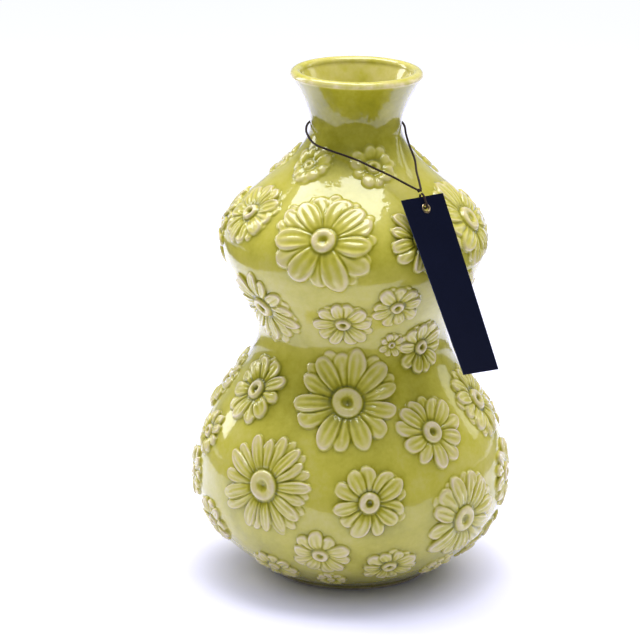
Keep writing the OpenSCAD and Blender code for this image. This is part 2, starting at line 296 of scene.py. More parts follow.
def glaze_material(name, cream):
    """Clear lime glaze over pale clay. It thins to cream on raised relief and pools green in the hollows."""
    m, t, shader = new_material(name)
    coords = object_coords(t)
    relief, bare, thickness_and_shade = (
        node(t, "Attribute", attribute_name=key).outputs["Fac"]
        for key in ("relief", "bare", "thickness_and_shade")
    )
    broad = noise(t, coords, 16, 2, 0.5, 0.4)
    cloudy = noise(t, coords, 70, 3, 0.55)
    fine = noise(t, coords, 420, 3, 0.6)
    patchy = noise(t, coords, 150, 2)
    relief = math_node(t, "MULTIPLY", relief, scaled(t, patchy, PATCH_GAIN, PATCH_LEAST))
    # Thickness from the mesh, which also holds the painted shade of a belt under the waist
    thick = math_node(t, "ADD", scaled(t, relief, RELIEF_THINS, USUAL_THICK), thickness_and_shade)
    for cloud, gain in ((broad, 0.32), (cloudy, 0.22), (fine, 0.10)):
        uneven = math_node(t, "MULTIPLY", math_node(t, "SUBTRACT", cloud, 0.5), gain)
        thick = math_node(t, "ADD", thick, uneven)
    filmed = tuple(c * k for c, k in zip(cream, FILMED))
    colour = ramp(t, thick, [(0.0, cream), (0.14, filmed)] + LIME_STOPS, "LINEAR")
    ripple = bump(t, noise(t, coords, 75, 3, 0.55), 0.5, 0.0006)
    inputs = {
        "Base Color": mix(t, bare, colour, ramp(t, fine, BARE_CLAY)),
        "Roughness": math_node(t, "ADD", scaled(t, fine, 0.10, 0.20), math_node(t, "MULTIPLY", bare, 0.45)),
        "IOR": 1.5, "Specular IOR Level": 0.15,
        "Normal": bump(t, noise(t, coords, 1500, 2), 0.10, 0.00008, Normal=ripple),
        "Coat Weight": 1.0, "Coat Roughness": 0.05, "Coat IOR": 1.52, "Coat Normal": ripple,
    }
    feed(t, shader, inputs)
    return m


CORD_STOPS = [(0.25, (0.012, 0.006, 0.004)), (0.6, (0.040, 0.020, 0.013)), (0.9, (0.095, 0.055, 0.038))]


def cord_material():
    m, t, shader = new_material("cord")
    fibre = noise(t, object_coords(t), 2600, 4, 0.6)
    inputs = {
        "Base Color": ramp(t, fibre, CORD_STOPS), "Normal": bump(t, fibre, 0.5, 0.00012),
        "Roughness": 0.7, "Specular IOR Level": 0.25, "Sheen Weight": 0.08, "Sheen Roughness": 0.45,
    }
    feed(t, shader, inputs)
    return m


def card_material(name, dark, light, rough):
    m, t, shader = new_material(name)
    coords = object_coords(t)
    grain = noise(t, coords, 1900, 4, 0.65)
    cloud = math_node(t, "MULTIPLY", noise(t, coords, 45, 3), 0.35)
    colour = ramp(t, grain, [(0.25, dark), (0.8, light)])
    inputs = {
        "Base Color": mix(t, cloud, colour, (*(1.5 * x for x in light), 1)),
        "Specular IOR Level": 0.06, "Roughness": scaled(t, grain, 0.12, rough),
        "Normal": bump(t, grain, 0.25, 0.00005),
    }
    feed(t, shader, inputs)
    return m


def brass_material():
    m, t, shader = new_material("brass")
    tarnish = noise(t, object_coords(t), 900, 3, 0.6)
    colour = ramp(t, tarnish, [(0.3, (0.55, 0.38, 0.17)), (0.7, (0.86, 0.68, 0.40))])
    feed(t, shader, {"Base Color": colour, "Metallic": 1.0, "Roughness": scaled(t, tarnish, 0.2, 0.2)})
    return m


GLAZE = glaze_material("glaze", WALL_CREAM)
FLOWER_GLAZE = glaze_material("flower_glaze", FLOWER_CREAM)
CORD = cord_material()
CARD = card_material("card", (0.0012, 0.0021, 0.0095), (0.0032, 0.0049, 0.0175), 0.42)
CORE = card_material("card_core", (0.020, 0.026, 0.055), (0.050, 0.060, 0.100), 0.75)
BRASS = brass_material()


# Cord, whose route repeats part.scad
CORD_ROUTE = [
    (37.5, -46.5, 243), (36.5, -40, 246), (35, -32, 250), (34, -22, 254.5), (31, -14, 260.5),
    (29, -7, 265.5), (28, 2, 268.5), (25, 12, 269.5), (18, 21.5, 269.5), (8.5, 26.5, 269), (-2, 28, 269),
    (-12, 25.5, 269), (-20.5, 19, 269), (-26.5, 9, 268.5), (-28.6, -2, 267.7), (-27.9, -12.2, 265.9),
    (-23.8, -21.7, 262.7), (-16.6, -28.9, 261.2), (-8.2, -33.6, 259.5), (1, -36.9, 257), (11, -39.5, 253),
    (21, -42, 249), (30, -45, 245), (35.8, -47.2, 242.6),
]
LEG_POINTS = 12  # points of the smooth curve for each leg of a route
NECK_STEP, BIGHT_STEP, KNOT_STEP = 0.34, 0.3, 0.22  # mm between the rings of each cord
PLIES, PLY_PITCH, PLY_DEPTH, TUBE_SIDES = 3, 3.4, 0.14, 15
TUBE_START = (0.3, 0.2, 1.0)  # any direction that no cord starts in


def spline(route):
    """Smooth curve through a route, as in part.scad."""
    p = np.asarray(route, float)
    out = []
    for i in range(len(p) - 1):
        a, b, c, d = p[max(i - 1, 0)], p[i], p[i + 1], p[min(i + 2, len(p) - 1)]
        for k in range(LEG_POINTS):
            t = k / LEG_POINTS
            bend = t * t * (a - 2.5 * b + 2 * c - d / 2)
            out.append(b + t * (c - a) / 2 + bend + t**3 * (3 * b - a - 3 * c + d) / 2)
    out.append(p[-1])
    return np.array(out)


def even(line, step):
    """The same line with points a step apart, and its length."""
    s = np.concatenate([[0], np.cumsum(np.linalg.norm(np.diff(line, axis=0), axis=1))])
    n = max(int(round(s[-1] / step)), 2)
    at = np.linspace(0, s[-1], n + 1)
    return np.stack([np.interp(at, s, line[:, k]) for k in range(3)], -1), s[-1]


def twisted_tube(name, line, diameter):
    """Cord of twisted plies along an even line, in mm."""
    n = len(line)
    along = np.gradient(line, axis=0)
    along /= np.linalg.norm(along, axis=1)[:, None]
    across = np.cross(along[0], TUBE_START)
    step = np.linalg.norm(line[1] - line[0])
    points = []
    for i, t in enumerate(along):
        across = across - t * (across @ t)
        across /= np.linalg.norm(across)
        square = np.cross(t, across)
        turn = TAU * i * step / PLY_PITCH
        for k in range(TUBE_SIDES):
            f = TAU * k / TUBE_SIDES
            r = diameter / 2 * (1 - PLY_DEPTH + PLY_DEPTH * math.cos(PLIES * (f - turn)))
            points.append(line[i] + r * (math.cos(f) * across + math.sin(f) * square))
    faces = bands(n, TUBE_SIDES)
    faces += [tuple(range(TUBE_SIDES))[::-1], tuple((n - 1) * TUBE_SIDES + k for k in range(TUBE_SIDES))]
    return add_mesh(name, np.array(points) * MM, faces, [CORD])


eyelet_r = float(outer_r(EYELET_Z)) + CARD_OUT
tag_az = math.radians(TAG_AZ)
tag_lean = math.atan((BULB_R + CARD_CLEAR - eyelet_r) / (EYELET_Z - BULB_Z))
TAG = np.array(
    Matrix.Translation((eyelet_r * math.sin(tag_az), -eyelet_r * math.cos(tag_az), EYELET_Z))
    @ Matrix.Rotation(tag_az, 4, "Z")
    @ Matrix.Rotation(-tag_lean, 4, "X")
)


def at_eyelet(points):
    """Points given from the eyelet's middle, x across the card, y through it and z up it."""
    p = np.asarray(points, float).reshape(-1, 3)
    return p @ TAG[:3, :3].T + TAG[:3, 3]


neck_line, neck_length = even(spline(CORD_ROUTE), NECK_STEP)
neck_cord = place(twisted_tube("neck_cord_twist", neck_line, CORD_D), "cord_loop", "neck_cord")

# Bight: out of the bore, up both faces of the card and into the knot, as in part.scad
knot_up = HOLE_DROP + KNOT_RISE
bore = EYELET_BORE / 2
out = CARD_T / 2 + FLANGE_T + GAP + CORD_D / 2
half = [
    (0, 0.2 * bore), (0.4 * out, 0.28 * bore), (0.78 * out, 0.5 * bore), (out, 1.1 * bore),
    (out, HOLE_DROP / 2), (out, HOLE_DROP), (0.6 * CORD_D, knot_up - (KNOT_D + CORD_D) / 2),
]
bight_route = [(0, -y, z) for y, z in half[:0:-1]] + [(0, y, z) for y, z in half]
bight_line, _ = even(spline(bight_route), BIGHT_STEP)
bight = place(twisted_tube("bight_twist", at_eyelet(bight_line), CORD_D), "cord_bight", "tag_bight")

# Knot: a trefoil of slightly tightened cord
KNOT_LOBES, KNOT_WEAVE, KNOT_SIZE, KNOT_TIGHT, KNOT_POINTS = 1.7, 1.15, 0.40, 0.86, 90
w = np.linspace(0, TAU, KNOT_POINTS)[:-1]
knot_line = np.stack(
    [
        np.sin(w) + KNOT_LOBES * np.sin(2 * w),
        np.cos(w) - KNOT_LOBES * np.cos(2 * w),
        -KNOT_WEAVE * np.sin(3 * w),
    ],
    -1,
)
knot_line, _ = even(knot_line * KNOT_SIZE + np.array([0, 0, knot_up]), KNOT_STEP)
knot = place(
    twisted_tube("knot_turns", at_eyelet(knot_line), CORD_D * KNOT_TIGHT), "cord_loop", "cord_knot"
)


# Flowers. Rows repeated from part.scad: azimuth in degrees, share of the gourd's height, share of the
# reach, petals, turn
UPPER = [
    (-14, 0.61, 0.96, 13, 4), (-63, 0.66, 0.66, 11, 9), (-45, 0.90, 0.42, 9, 0), (17, 0.91, 0.44, 10, 12),
    (32, 0.60, 0.64, 11, 20), (71, 0.63, 0.86, 12, 6), (-52, 0.20, 0.80, 13, 15), (-5, 0.17, 0.54, 10, 2),
    (21, 0.27, 0.50, 9, 18), (44, 0.00, 0.54, 10, 8), (23, 0.04, 0.26, 8, 0), (58, 0.30, 0.42, 9, 14),
    (112, 0.50, 0.78, 12, 11), (124, 0.84, 0.54, 10, 0), (93, 0.14, 0.64, 11, 9), (138, 0.18, 0.72, 12, 7),
    (161, 0.58, 0.94, 14, 5), (-176, 0.16, 0.66, 11, 16), (-156, 0.88, 0.48, 10, 10),
    (-146, 0.46, 0.80, 12, 1), (-99, 0.52, 0.80, 13, 13), (-106, 0.86, 0.46, 9, 6), (-126, 0.08, 0.66, 11, 2),
]
LOWER = [
    (-2, 0.82, 1.00, 13, 5), (-54, 0.81, 0.68, 11, 10), (36, 0.70, 0.70, 11, 0), (-33, 0.50, 0.95, 17, 8),
    (7, 0.47, 0.70, 11, 14), (46, 0.35, 0.86, 12, 3), (-11, 0.24, 0.55, 10, 9), (17, 0.18, 0.52, 10, 0),
    (-9, 0.09, 0.30, 9, 12), (-37, 0.13, 0.46, 10, 6), (-72, 0.61, 0.46, 10, 15), (-81, 0.42, 0.50, 11, 4),
    (-64, 0.27, 0.48, 10, 0), (76, 0.74, 0.76, 12, 7), (80, 0.44, 0.64, 11, 13), (47, 0.12, 0.36, 9, 1),
    (80, 0.16, 0.66, 11, 10), (110, 0.62, 0.60, 10, 5), (122, 0.84, 0.72, 12, 0), (117, 0.28, 0.84, 13, 3),
    (147, 0.58, 0.92, 14, 9), (158, 0.18, 0.72, 12, 2), (-174, 0.82, 0.80, 12, 6), (-170, 0.44, 0.76, 12, 12),
    (-136, 0.62, 0.88, 13, 3), (-144, 0.22, 0.84, 13, 8), (-98, 0.76, 0.72, 12, 11),
    (-108, 0.38, 0.62, 11, 0), (-98, 0.14, 0.62, 10, 8),
]

# Second-layer petals that show behind the others, from and to angle in degrees clockwise from up. A flower
# that isn't named has them over a random part of its round
BEHIND = {
    "upper_flower_1": (-80, 165), "lower_flower_1": (-60, 65), "lower_flower_4": (20, 170),
    "upper_flower_7": (60, 200), "lower_flower_6": (-60, 100), "lower_flower_3": (-40, 60),
}
RING_SIZE = {"upper_flower_1": 0.90, "lower_flower_1": 1.08, "lower_flower_4": 1.12}  # of the usual ring
FULLNESS = {  # of the petals' usual width
    "upper_flower_1": 1.26, "upper_flower_2": 1.10, "upper_flower_6": 1.10, "lower_flower_4": 0.94,
}
SOFT = {  # mm of blur where the glaze lies thick
    "upper_flower_1": 0.16, "upper_flower_2": 0.14, "upper_flower_6": 0.14, "upper_flower_3": 0.6,
    "upper_flower_4": 0.6, "upper_flower_14": 0.4, "upper_flower_19": 0.4, "upper_flower_22": 0.4,
}
RING_FULL_R, PETAL_FULL_R = 20, 18  # mm of reach, under which rings and petals are lower
GRID_STEP = 0.3  # mm between the points of a flower's height grid
GRID_REACH, GRID_MARGIN = 1.08, 7  # half of the grid: a share of the reach, and mm
WALL_REACH, WALL_MARGIN = 1.05, 6  # how far the wall's glaze feels a flower: the same

# Outline of a petal, in shares of the reach, or of the petal's length or half width
PETAL_BASE = 0.23  # where petals start, for a ring of the usual size
WIDEST_AT = 0.62  # of the length
MOST_HALF = 0.27  # of the reach, for half of the widest petal
BASE_WIDTH, FILL_POWER = 0.45, 1.1  # width at the base, of the widest, and how it fills out from there
SKEW_FROM = 0.2
TIP_SHRINK = 0.8  # how much shorter the tip counts in the distance from the outline
NEAR_SIDE, BEYOND = 0.1, -9.0  # share, and the mm given to what lies short of it, on the far side
END_LIMIT = 3  # most that the outline's measure grows to past the tip

# Height of a petal, in shares of its own height, over its half width and its length
RIM_WIDTH, DISH_START, DISH_WIDTH, RIB_WIDTH = 0.22, 0.7, 0.30, 0.16
STREAK_H, STREAKS, STREAK_SHIFT, STREAK_EASE, STREAK_START = 0.09, 1.4, 9, 0.2, 0.3
ARCH_LOW, ARCH_RISE, ARCH_MIDDLE = 0.46, 0.45, 0.08
TIP_DROP, TIP_FROM = 0.22, 0.72
START_AT, START_EASE = 0.9, 0.07  # of the base, and of the reach

# Mound under the petals and creases between them
MOUND_H, MOUND_END, MOUND_EASE = 0.35, 0.75, 0.3  # mm, and shares of the reach
PETAL_TURN, PETAL_FROM, PETAL_TO = 1.1, 0.12, 1.25  # radians either side, and shares of the reach
EDGE_BLEND, LEAST_H = 0.5, 0.15  # mm
CREASE_DEEP, CREASE_WIDTH = 0.60, 0.8  # share, and mm

# Ring and its eye, in shares of the reach for a ring of the usual size, or of the ring's height or width
RING_MIDDLE, RING_WIDTH, RING_POWER = 0.172, 0.090, 3.2
RING_UNEVEN, RING_LUMPS = 0.03, 0.05
LARGE_R, LARGE_PIT, SMALL_PIT = 26, 0.42, 0.12  # mm of reach, and the height of the eye over it and under it
EYE_BOWL, EYE_DIP, EYE_R = 0.40, 0.22, 0.035
HOLLOW_DEEP, HOLLOW_AT, MIDDLE_R = 0.5, 1.25, 0.28
GRAIN_H, GRAIN_BLUR = 0.05, 0.42  # mm, of the rough clay of the rings
LEAST_BLUR, REACH_BLUR = 0.14, 0.006  # mm, and mm for each mm of reach

# Relief that the glaze follows: raised over the near surroundings, sunk under them, or either over the wide
NEAR_BLUR, WIDE_BLUR = 0.9, 2.7  # mm
RAISED, SUNK, WIDE = 0.56, 0.30, 0.40
POOL_OUTSIDE, POOL_MORE, POOL_FROM, POOL_EASE, POOL_MOST = 0.42, 0.50, 1.0, 1.2, -0.62
RING_PALE, RING_SPREAD, RING_EDGE_PALE, RING_EDGE_AT, RING_EDGE_W = 0.16, 0.9, 0.14, 0.62, 0.35
TIP_PALE, TIP_PALE_FROM, TIP_EASE = 0.15, 0.5, 0.45
BASE_GREEN, GREEN_TO, GREEN_EASE, PALE_EDGE, SOFT_LOSS = 0.10, 0.55, 0.15, 0.6, 0.6


def smooth(x):
    x = np.clip(x, 0, 1)
    return x * x * (3 - 2 * x)


def bell(x, width):
    return np.exp(-((x / width) ** 2))


def blurred(grid, sigma):
    """Gaussian blur of a square grid, with sigma in mm."""
    sigma /= GRID_STEP
    k = int(3 * sigma + 1)
    weights = np.exp(-0.5 * (np.arange(-k, k + 1) / sigma) ** 2)
    weights /= weights.sum()
    for _ in range(2):
        padded = np.pad(grid, ((k, k), (0, 0)), mode="edge")
        grid = sum(w * padded[i : i + len(grid)] for i, w in enumerate(weights)).T
    return grid


class Flower:
    """Height field of one applied flower, in mm over the wall. u is across and v up it from the middle."""

    def __init__(self, name, az, z, reach, petals, turn):
        self.name, self.az, self.s0, self.R = name, math.radians(az), float(arc_at(z)), reach
        self.n, self.turn = petals, math.radians(turn)
        self.draw = draw = np.random.default_rng(sum(ord(ch) * (i + 3) for i, ch in enumerate(name)))
        step = TAU / petals
        self.ring_size = RING_SIZE.get(name, draw.uniform(0.96, 1.12))
        self.ring_h = RING_H * min(1.0, (reach / RING_FULL_R) ** 0.5)
        self.petal_h = PETAL_H * min(1.0, (reach / PETAL_FULL_R) ** 0.4)
        self.soft = SOFT.get(name, 0.0)
        self.ring_phase = draw.uniform(0, TAU, 3)
        low, span = draw.uniform(0, TAU), math.radians(draw.uniform(70, 190))
        if name in BEHIND:
            low, high = (math.radians(a) for a in BEHIND[name])
            span = high - low
        self.petals = []
        for i in range(petals):
            angle = self.turn + step * i + draw.uniform(-0.12, 0.12) * step
            shape = dict(
                length=draw.uniform(0.97, 1.05), wide=draw.uniform(0.85, 1.0),
                high=draw.uniform(0.50, 0.62), rib=draw.uniform(0.0, 0.2),
                skew=0.0, dip=0.16, tilt=0.0, tip=2.1,
            )
            if (angle - low) % TAU < span:
                self.petals.append((angle, shape))
        order = sorted(range(petals), key=lambda i: (i % 2, draw.uniform()))
        for rank, i in enumerate(order):
            angle = self.turn + step * (i + 0.5) + draw.uniform(-0.10, 0.10) * step
            shape = dict(
                length=draw.uniform(0.90, 1.05), wide=draw.uniform(0.92, 1.14) * FULLNESS.get(name, 1.0),
                high=draw.uniform(0.76, 0.90) + 0.20 * rank / petals, rib=draw.uniform(0.0, 0.28),
                skew=draw.uniform(-0.20, 0.20), dip=draw.uniform(0.10, 0.27),
                tilt=draw.uniform(-0.22, 0.22), tip=draw.uniform(1.75, 2.5),
            )
            shape["rib"] *= 1 - 0.7 * min(self.soft / 0.15, 1)
            self.petals.append((angle, shape))
        self.make_grid()

    def petal(self, u, v, angle, length, wide, high, rib, skew, dip, tilt, tip):
        """Height of one petal, and the distance in from its outline."""
        along = (u * np.sin(angle) + v * np.cos(angle)) / self.R
        across = (u * np.cos(angle) - v * np.sin(angle)) / self.R
        across = across - skew * np.clip(along - SKEW_FROM, 0, 1) ** 2
        base = PETAL_BASE * self.ring_size
        t = (along - base) / (length - base)
        broad = base + WIDEST_AT * (length - base)
        half = min(wide * broad * math.tan(math.pi / self.n), MOST_HALF)
        # Outline: widening from the base, then rounded by a superellipse of power tip
        filled = np.sin(np.pi / 2 * np.clip(t / WIDEST_AT, 0, 1)) ** FILL_POWER
        low = half * (BASE_WIDTH + (1 - BASE_WIDTH) * filled)
        end = np.clip((t - WIDEST_AT) / (1 - WIDEST_AT), 0, END_LIMIT)
        side = np.abs(across) / np.where(t < WIDEST_AT, low, half)
        g = (end**tip + side**tip) ** (1 / tip)
        end_share = end**tip / np.maximum(g**tip, 1e-9)
        tip_l = (1 - WIDEST_AT) * (length - base) * self.R * TIP_SHRINK
        scale = half * self.R * (1 - end_share) + tip_l * end_share
        inside = np.where(along > NEAR_SIDE, (1 - g) * scale, BEYOND)
        # Cross-section: a rounded rim, a dished middle with a rib, and streaks
        x = inside / (half * self.R)
        rise = np.sqrt(np.clip(1 - (1 - np.clip(x / RIM_WIDTH, 0, 1)) ** 2, 0, 1))
        dish = dip * smooth((x - DISH_START * RIM_WIDTH) / DISH_WIDTH)
        body = rise - dish + rib * bell(1 - x, RIB_WIDTH) * (x > 0)
        streaks = STREAK_H * np.cos(TAU * STREAKS * across / half + STREAK_SHIFT * rib)
        body = body + streaks * smooth((x - RIM_WIDTH) / STREAK_EASE) * smooth(t / STREAK_START)
        body = body * (1 + tilt * np.clip(across / half, -1, 1))
        arch = ARCH_LOW + (1 - ARCH_LOW) * smooth(t / ARCH_RISE)
        arch = arch + ARCH_MIDDLE * np.sin(np.pi * np.clip(t, 0, 1))
        lengthwise = arch - TIP_DROP * smooth((t - TIP_FROM) / (1 - TIP_FROM))
        start = smooth((along - START_AT * base) / START_EASE)
        return self.petal_h * high * body * lengthwise * start, inside

    def make_grid(self):
        """Height, distance inside the outline and relief for the glaze, on a square grid."""
        self.half = GRID_REACH * self.R + GRID_MARGIN
        self.count = int(2 * self.half / GRID_STEP) + 2
        line = np.arange(self.count) * GRID_STEP - self.half
        u, v = np.meshgrid(line, line)
        rho, ang = np.hypot(u, v) / self.R, np.arctan2(u, v)
        top = MOUND_H * smooth((MOUND_END - rho) / MOUND_EASE)
        inside = np.full(u.shape, -99.0)
        for angle, shape in self.petals:
            turn = (ang - angle + math.pi) % TAU - math.pi
            near = (np.abs(turn) < PETAL_TURN) & (rho > PETAL_FROM) & (rho < PETAL_TO)
            h, ins = self.petal(u[near], v[near], angle, **shape)
            cover = smooth(0.5 + ins / EDGE_BLEND)
            crease = 1 - CREASE_DEEP * bell(np.minimum(ins, 0), CREASE_WIDTH)
            top[near] = top[near] * crease * (1 - cover) + np.maximum(h, LEAST_H) * cover
            inside[near] = np.maximum(inside[near], ins)
        centre, width = RING_MIDDLE * self.ring_size, RING_WIDTH * self.ring_size
        uneven = 1 + RING_UNEVEN * np.cos(2 * ang + self.ring_phase[0])
        q = np.abs(rho - centre * uneven) / width
        lumps = 1 + RING_LUMPS * np.cos(3 * ang + self.ring_phase[1])
        ring = self.ring_h * np.clip(1 - q**RING_POWER, 0, 1) ** 0.5 * lumps
        pit = LARGE_PIT if self.R > LARGE_R else SMALL_PIT
        bowl = pit + EYE_BOWL * (rho / centre) ** 2 - EYE_DIP * bell(rho, EYE_R)
        eye = self.ring_h * bowl * (rho < centre)
        hollow = 1 - HOLLOW_DEEP * bell(rho - centre - HOLLOW_AT * width, EYE_R)
        top = np.where(rho < centre + width, np.maximum(ring, eye), top * hollow)
        self.inside = inside = np.maximum(inside, (MIDDLE_R * self.ring_size - rho) * self.R)
        self.top = blurred(top, LEAST_BLUR + REACH_BLUR * self.R + self.soft)
        grain = blurred(self.draw.normal(0, 1, u.shape), GRAIN_BLUR)
        on_ring = smooth((centre + width - rho) / (0.5 * width))
        self.top = self.top + GRAIN_H * grain / grain.std() * on_ring * self.ring_h / RING_H
        local, broad = self.top - blurred(self.top, NEAR_BLUR), self.top - blurred(self.top, WIDE_BLUR)
        rough = RAISED * np.maximum(local, 0) + SUNK * np.minimum(local, 0) + WIDE * broad
        pooled = POOL_OUTSIDE + POOL_MORE * smooth((inside + POOL_FROM) / POOL_EASE)
        rough = np.where(rough > 0, rough, np.maximum(pooled * rough, POOL_MOST))
        ring_edge = bell(rho - centre - RING_EDGE_AT * width, RING_EDGE_W * width)
        ring_band = np.exp(-((q / RING_SPREAD) ** 4)) * RING_PALE + RING_EDGE_PALE * ring_edge
        petal_end = TIP_PALE * smooth((rho - TIP_PALE_FROM) / TIP_EASE)
        petal_end = petal_end - BASE_GREEN * smooth((GREEN_TO - rho) / GREEN_EASE)
        petal_end = petal_end * smooth(inside / PALE_EDGE) * (rho > centre + width)
        self.relief = rough + ring_band * (1 - SOFT_LOSS * self.soft) + petal_end

    def sample(self, grid, u, v):
        x, y = (np.clip((a + self.half) / GRID_STEP, 0, self.count - 1.001) for a in (u, v))
        i, j = x.astype(int), y.astype(int)
        fx, fy = x - i, y - j
        low = grid[j, i] * (1 - fx) + grid[j, i + 1] * fx
        high = grid[j + 1, i] * (1 - fx) + grid[j + 1, i + 1] * fx
        return low * (1 - fy) + high * fy


def flowers(prefix, rows, z0, z1):
    """One flower for each row on the gourd between two heights."""
    return [
        Flower(f"{prefix}_flower_{i + 1}", az, z0 + (z1 - z0) * share, FLOWER_R * reach, petals, turn)
        for i, (az, share, reach, petals, turn) in enumerate(rows)
    ]


FLOWERS = flowers("upper", UPPER, WAIST_Z, COLLAR_Z) + flowers("lower", LOWER, 0, WAIST_Z)


# Extra thickness of the glaze on the neck, a little less near the lip, and a belt of painted shade under the
# waist, where shade falls below the upper gourd, with the heights in mm where each starts and over which it
# grows, or of the belt's middle and its width
NECK_DEEP, NECK_DEEP_Z, NECK_EASE = 0.15, 244, 18
LIP_LESS, LIP_LESS_Z, LIP_EASE = 0.03, 284, 10
SHADE_BELT_DEEP, SHADE_BELT_Z, SHADE_BELT_WIDTH = 0.07, 131, 17


def thickness_and_shade_at(z):
    z = np.asarray(z, float)
    neck = NECK_DEEP * smooth((z - NECK_DEEP_Z) / NECK_EASE)
    neck = neck - LIP_LESS * np.clip((z - LIP_LESS_Z) / LIP_EASE, 0, 1)
    # The belt is painted shade under the waist, given as darker, thicker-looking glaze
    return neck + SHADE_BELT_DEEP * bell(z - SHADE_BELT_Z, SHADE_BELT_WIDTH)


# Mesh of a flower, in shares of its reach, or in mm
SMALL_R, PETAL_COLUMNS, FEW_COLUMNS, SIDE_POWER = 18, 22, 18, 1.15
RING_ROWS, EDGE_ROWS, LEAST_ROWS, ROWS_PER_MM = 15, 10, 8, 0.62
INNER_R, EDGE_LEAST, EDGE_MOST, BACK_R = 0.30, 0.36, 1.12, 0.42
LIP_SHARE, LIP_LEAST, APRON = 0.05, 0.5, 1.5  # the rounded edge, and what dips under the wall beyond it
SEAT_SINK, APRON_SINK, KEY_CLEAR = 0.03, 0.3, 0.4  # mm
EDGE_PROBES, PETAL_LEAST, EDGE_START, ROW_LEAST = 165, 0.02, 1.07, 1e-4  # count, two shares, and mm


def build_flower(f):
    per = PETAL_COLUMNS if f.R > SMALL_R else FEW_COLUMNS
    x = (np.arange(per) + 0.5) / per * 2 - 1
    x = np.sign(x) * (1 - (1 - np.abs(x)) ** SIDE_POWER)
    step = TAU / f.n
    phi = (f.turn + step * (np.arange(f.n)[:, None] + 0.5 + x[None] / 2)).ravel()
    cols = len(phi)
    probe = np.linspace(INNER_R, EDGE_MOST, EDGE_PROBES)[:, None] * f.R
    edge = np.where(f.sample(f.inside, probe * np.sin(phi), probe * np.cos(phi)) > 0, probe, 0).max(0)
    edge = np.maximum(edge, EDGE_LEAST * f.R)
    # Rows: the ring, the petals, and the edge with an apron that dips under the wall
    inner, lip = INNER_R * f.R, LIP_SHARE * f.R + LIP_LEAST
    rows = [np.full(cols, r) for r in np.linspace(0, inner, RING_ROWS)[1:]]
    for q in np.linspace(0, 1, max(LEAST_ROWS, int(ROWS_PER_MM * f.R)) + 1)[1:]:
        rows.append(inner + (np.maximum(edge - lip, inner + PETAL_LEAST * f.R * q) - inner) * q)
    for q in np.linspace(0, 1, EDGE_ROWS)[1:]:
        rows.append(np.maximum(edge - lip, EDGE_START * inner) + (lip + APRON) * q)
    r = np.stack(rows)
    r = np.maximum.accumulate(r + np.arange(len(rows))[:, None] * ROW_LEAST, 0)
    u, v = r * np.sin(phi), r * np.cos(phi)
    lift = f.sample(f.top, u, v) - SEAT_SINK
    lift[-1] = -APRON_SINK
    relief = f.sample(f.relief, u, v)
    middle = np.zeros(1)
    centre_lift, centre_relief = f.sample(f.top, middle, middle), f.sample(f.relief, middle, middle)
    back_r = BACK_R * f.R
    u = np.concatenate([middle, u.ravel(), back_r * np.sin(phi), middle])
    v = np.concatenate([middle, v.ravel(), back_r * np.cos(phi), middle])
    lift = np.concatenate([centre_lift, lift.ravel(), np.full(cols + 1, -KEY_D + KEY_CLEAR)])
    relief = np.concatenate([centre_relief, relief.ravel(), np.zeros(cols + 1)])
    s = f.s0 + v
    az = f.az + u / outer_r(height_at(s))
    points = on_wall(az, s, lift) * MM
    faces = [(0, 1 + (i + 1) % cols, 1 + i) for i in range(cols)]
    faces += bands(len(rows) + 1, cols, 1)
    last = 1 + len(rows) * cols
    faces += [(last + i, last + (i + 1) % cols, last + cols) for i in range(cols)]
    values = {"relief": relief, "bare": 0 * relief, "thickness_and_shade": thickness_and_shade_at(points[:, 2] / MM)}
    obj = add_mesh(f.name + "_sprig", points, faces, [FLOWER_GLAZE], values=values)
    place(obj, "vase", f.name)


for f in FLOWERS:
    build_flower(f)


# Vessel: rings of points with the relief and the share of bare clay on them, and normals on the outer wall
COLUMNS = 600
AZ = TAU * np.arange(COLUMNS) / COLUMNS
FLAT = 0 * AZ


def wall_relief(s):
    """Glaze pooled on the bare wall round the flowers, on the grid of columns and distances up the wall."""
    relief = np.zeros((len(s), COLUMNS))
    radius = outer_r(height_at(s))
    for f in FLOWERS:
        reach = WALL_REACH * f.R + WALL_MARGIN
        rows = np.where(np.abs(s - f.s0) < reach)[0]
        v = (s[rows] - f.s0)[:, None] + FLAT
        turn = (AZ - f.az + math.pi) % TAU - math.pi
        u = radius[rows][:, None] * turn[None]
        close = np.hypot(u, v) < reach
        block = relief[rows]
        block[close] = np.minimum(block[close], f.sample(f.relief, u[close], v[close]))
        relief[rows] = block
    return relief


def lathe(name, rings, cad_node, capped=False):
    """Closed body of the vase through rings. It joins the last ring to the first, or caps both."""
    relief, bare = ([np.broadcast_to(row[k], COLUMNS) for row in rings] for k in (1, 2))
    pts = np.concatenate([row[0] for row in rings]) * MM
    last = (len(rings) - 1) * COLUMNS
    faces = bands(len(rings), COLUMNS)
    if capped:
        n = len(pts)
        pts = np.concatenate([pts, [[0, 0, rings[i][0][0, 2] * MM] for i in (0, -1)]])
        faces += [(n, (i + 1) % COLUMNS, i) for i in range(COLUMNS)]
        faces += [(n + 1, last + i, last + (i + 1) % COLUMNS) for i in range(COLUMNS)]
        relief.append([0, 0])
        bare.append([0, 0])
    else:
        faces += band(last, 0, COLUMNS)
    values = {
        "relief": np.concatenate(relief), "bare": np.concatenate(bare), "thickness_and_shade": thickness_and_shade_at(pts[:, 2] / MM),
    }
    obj = add_mesh(name, pts, faces, [GLAZE], values=values)
    normals = np.zeros(3 * len(pts), np.float32)
    obj.data.vertex_normals.foreach_get("vector", normals)
    normals = normals.reshape(-1, 3)
    for j, row in enumerate(rings):
        if len(row) > 3:
            normals[j * COLUMNS : (j + 1) * COLUMNS] = row[3]
    obj.data.normals_split_custom_set_from_vertices(normals.tolist())
    place(obj, "vase", cad_node)


def ring(r, z):
    return np.stack([r * np.sin(AZ), -r * np.cos(AZ), np.full(COLUMNS, float(z))], -1)


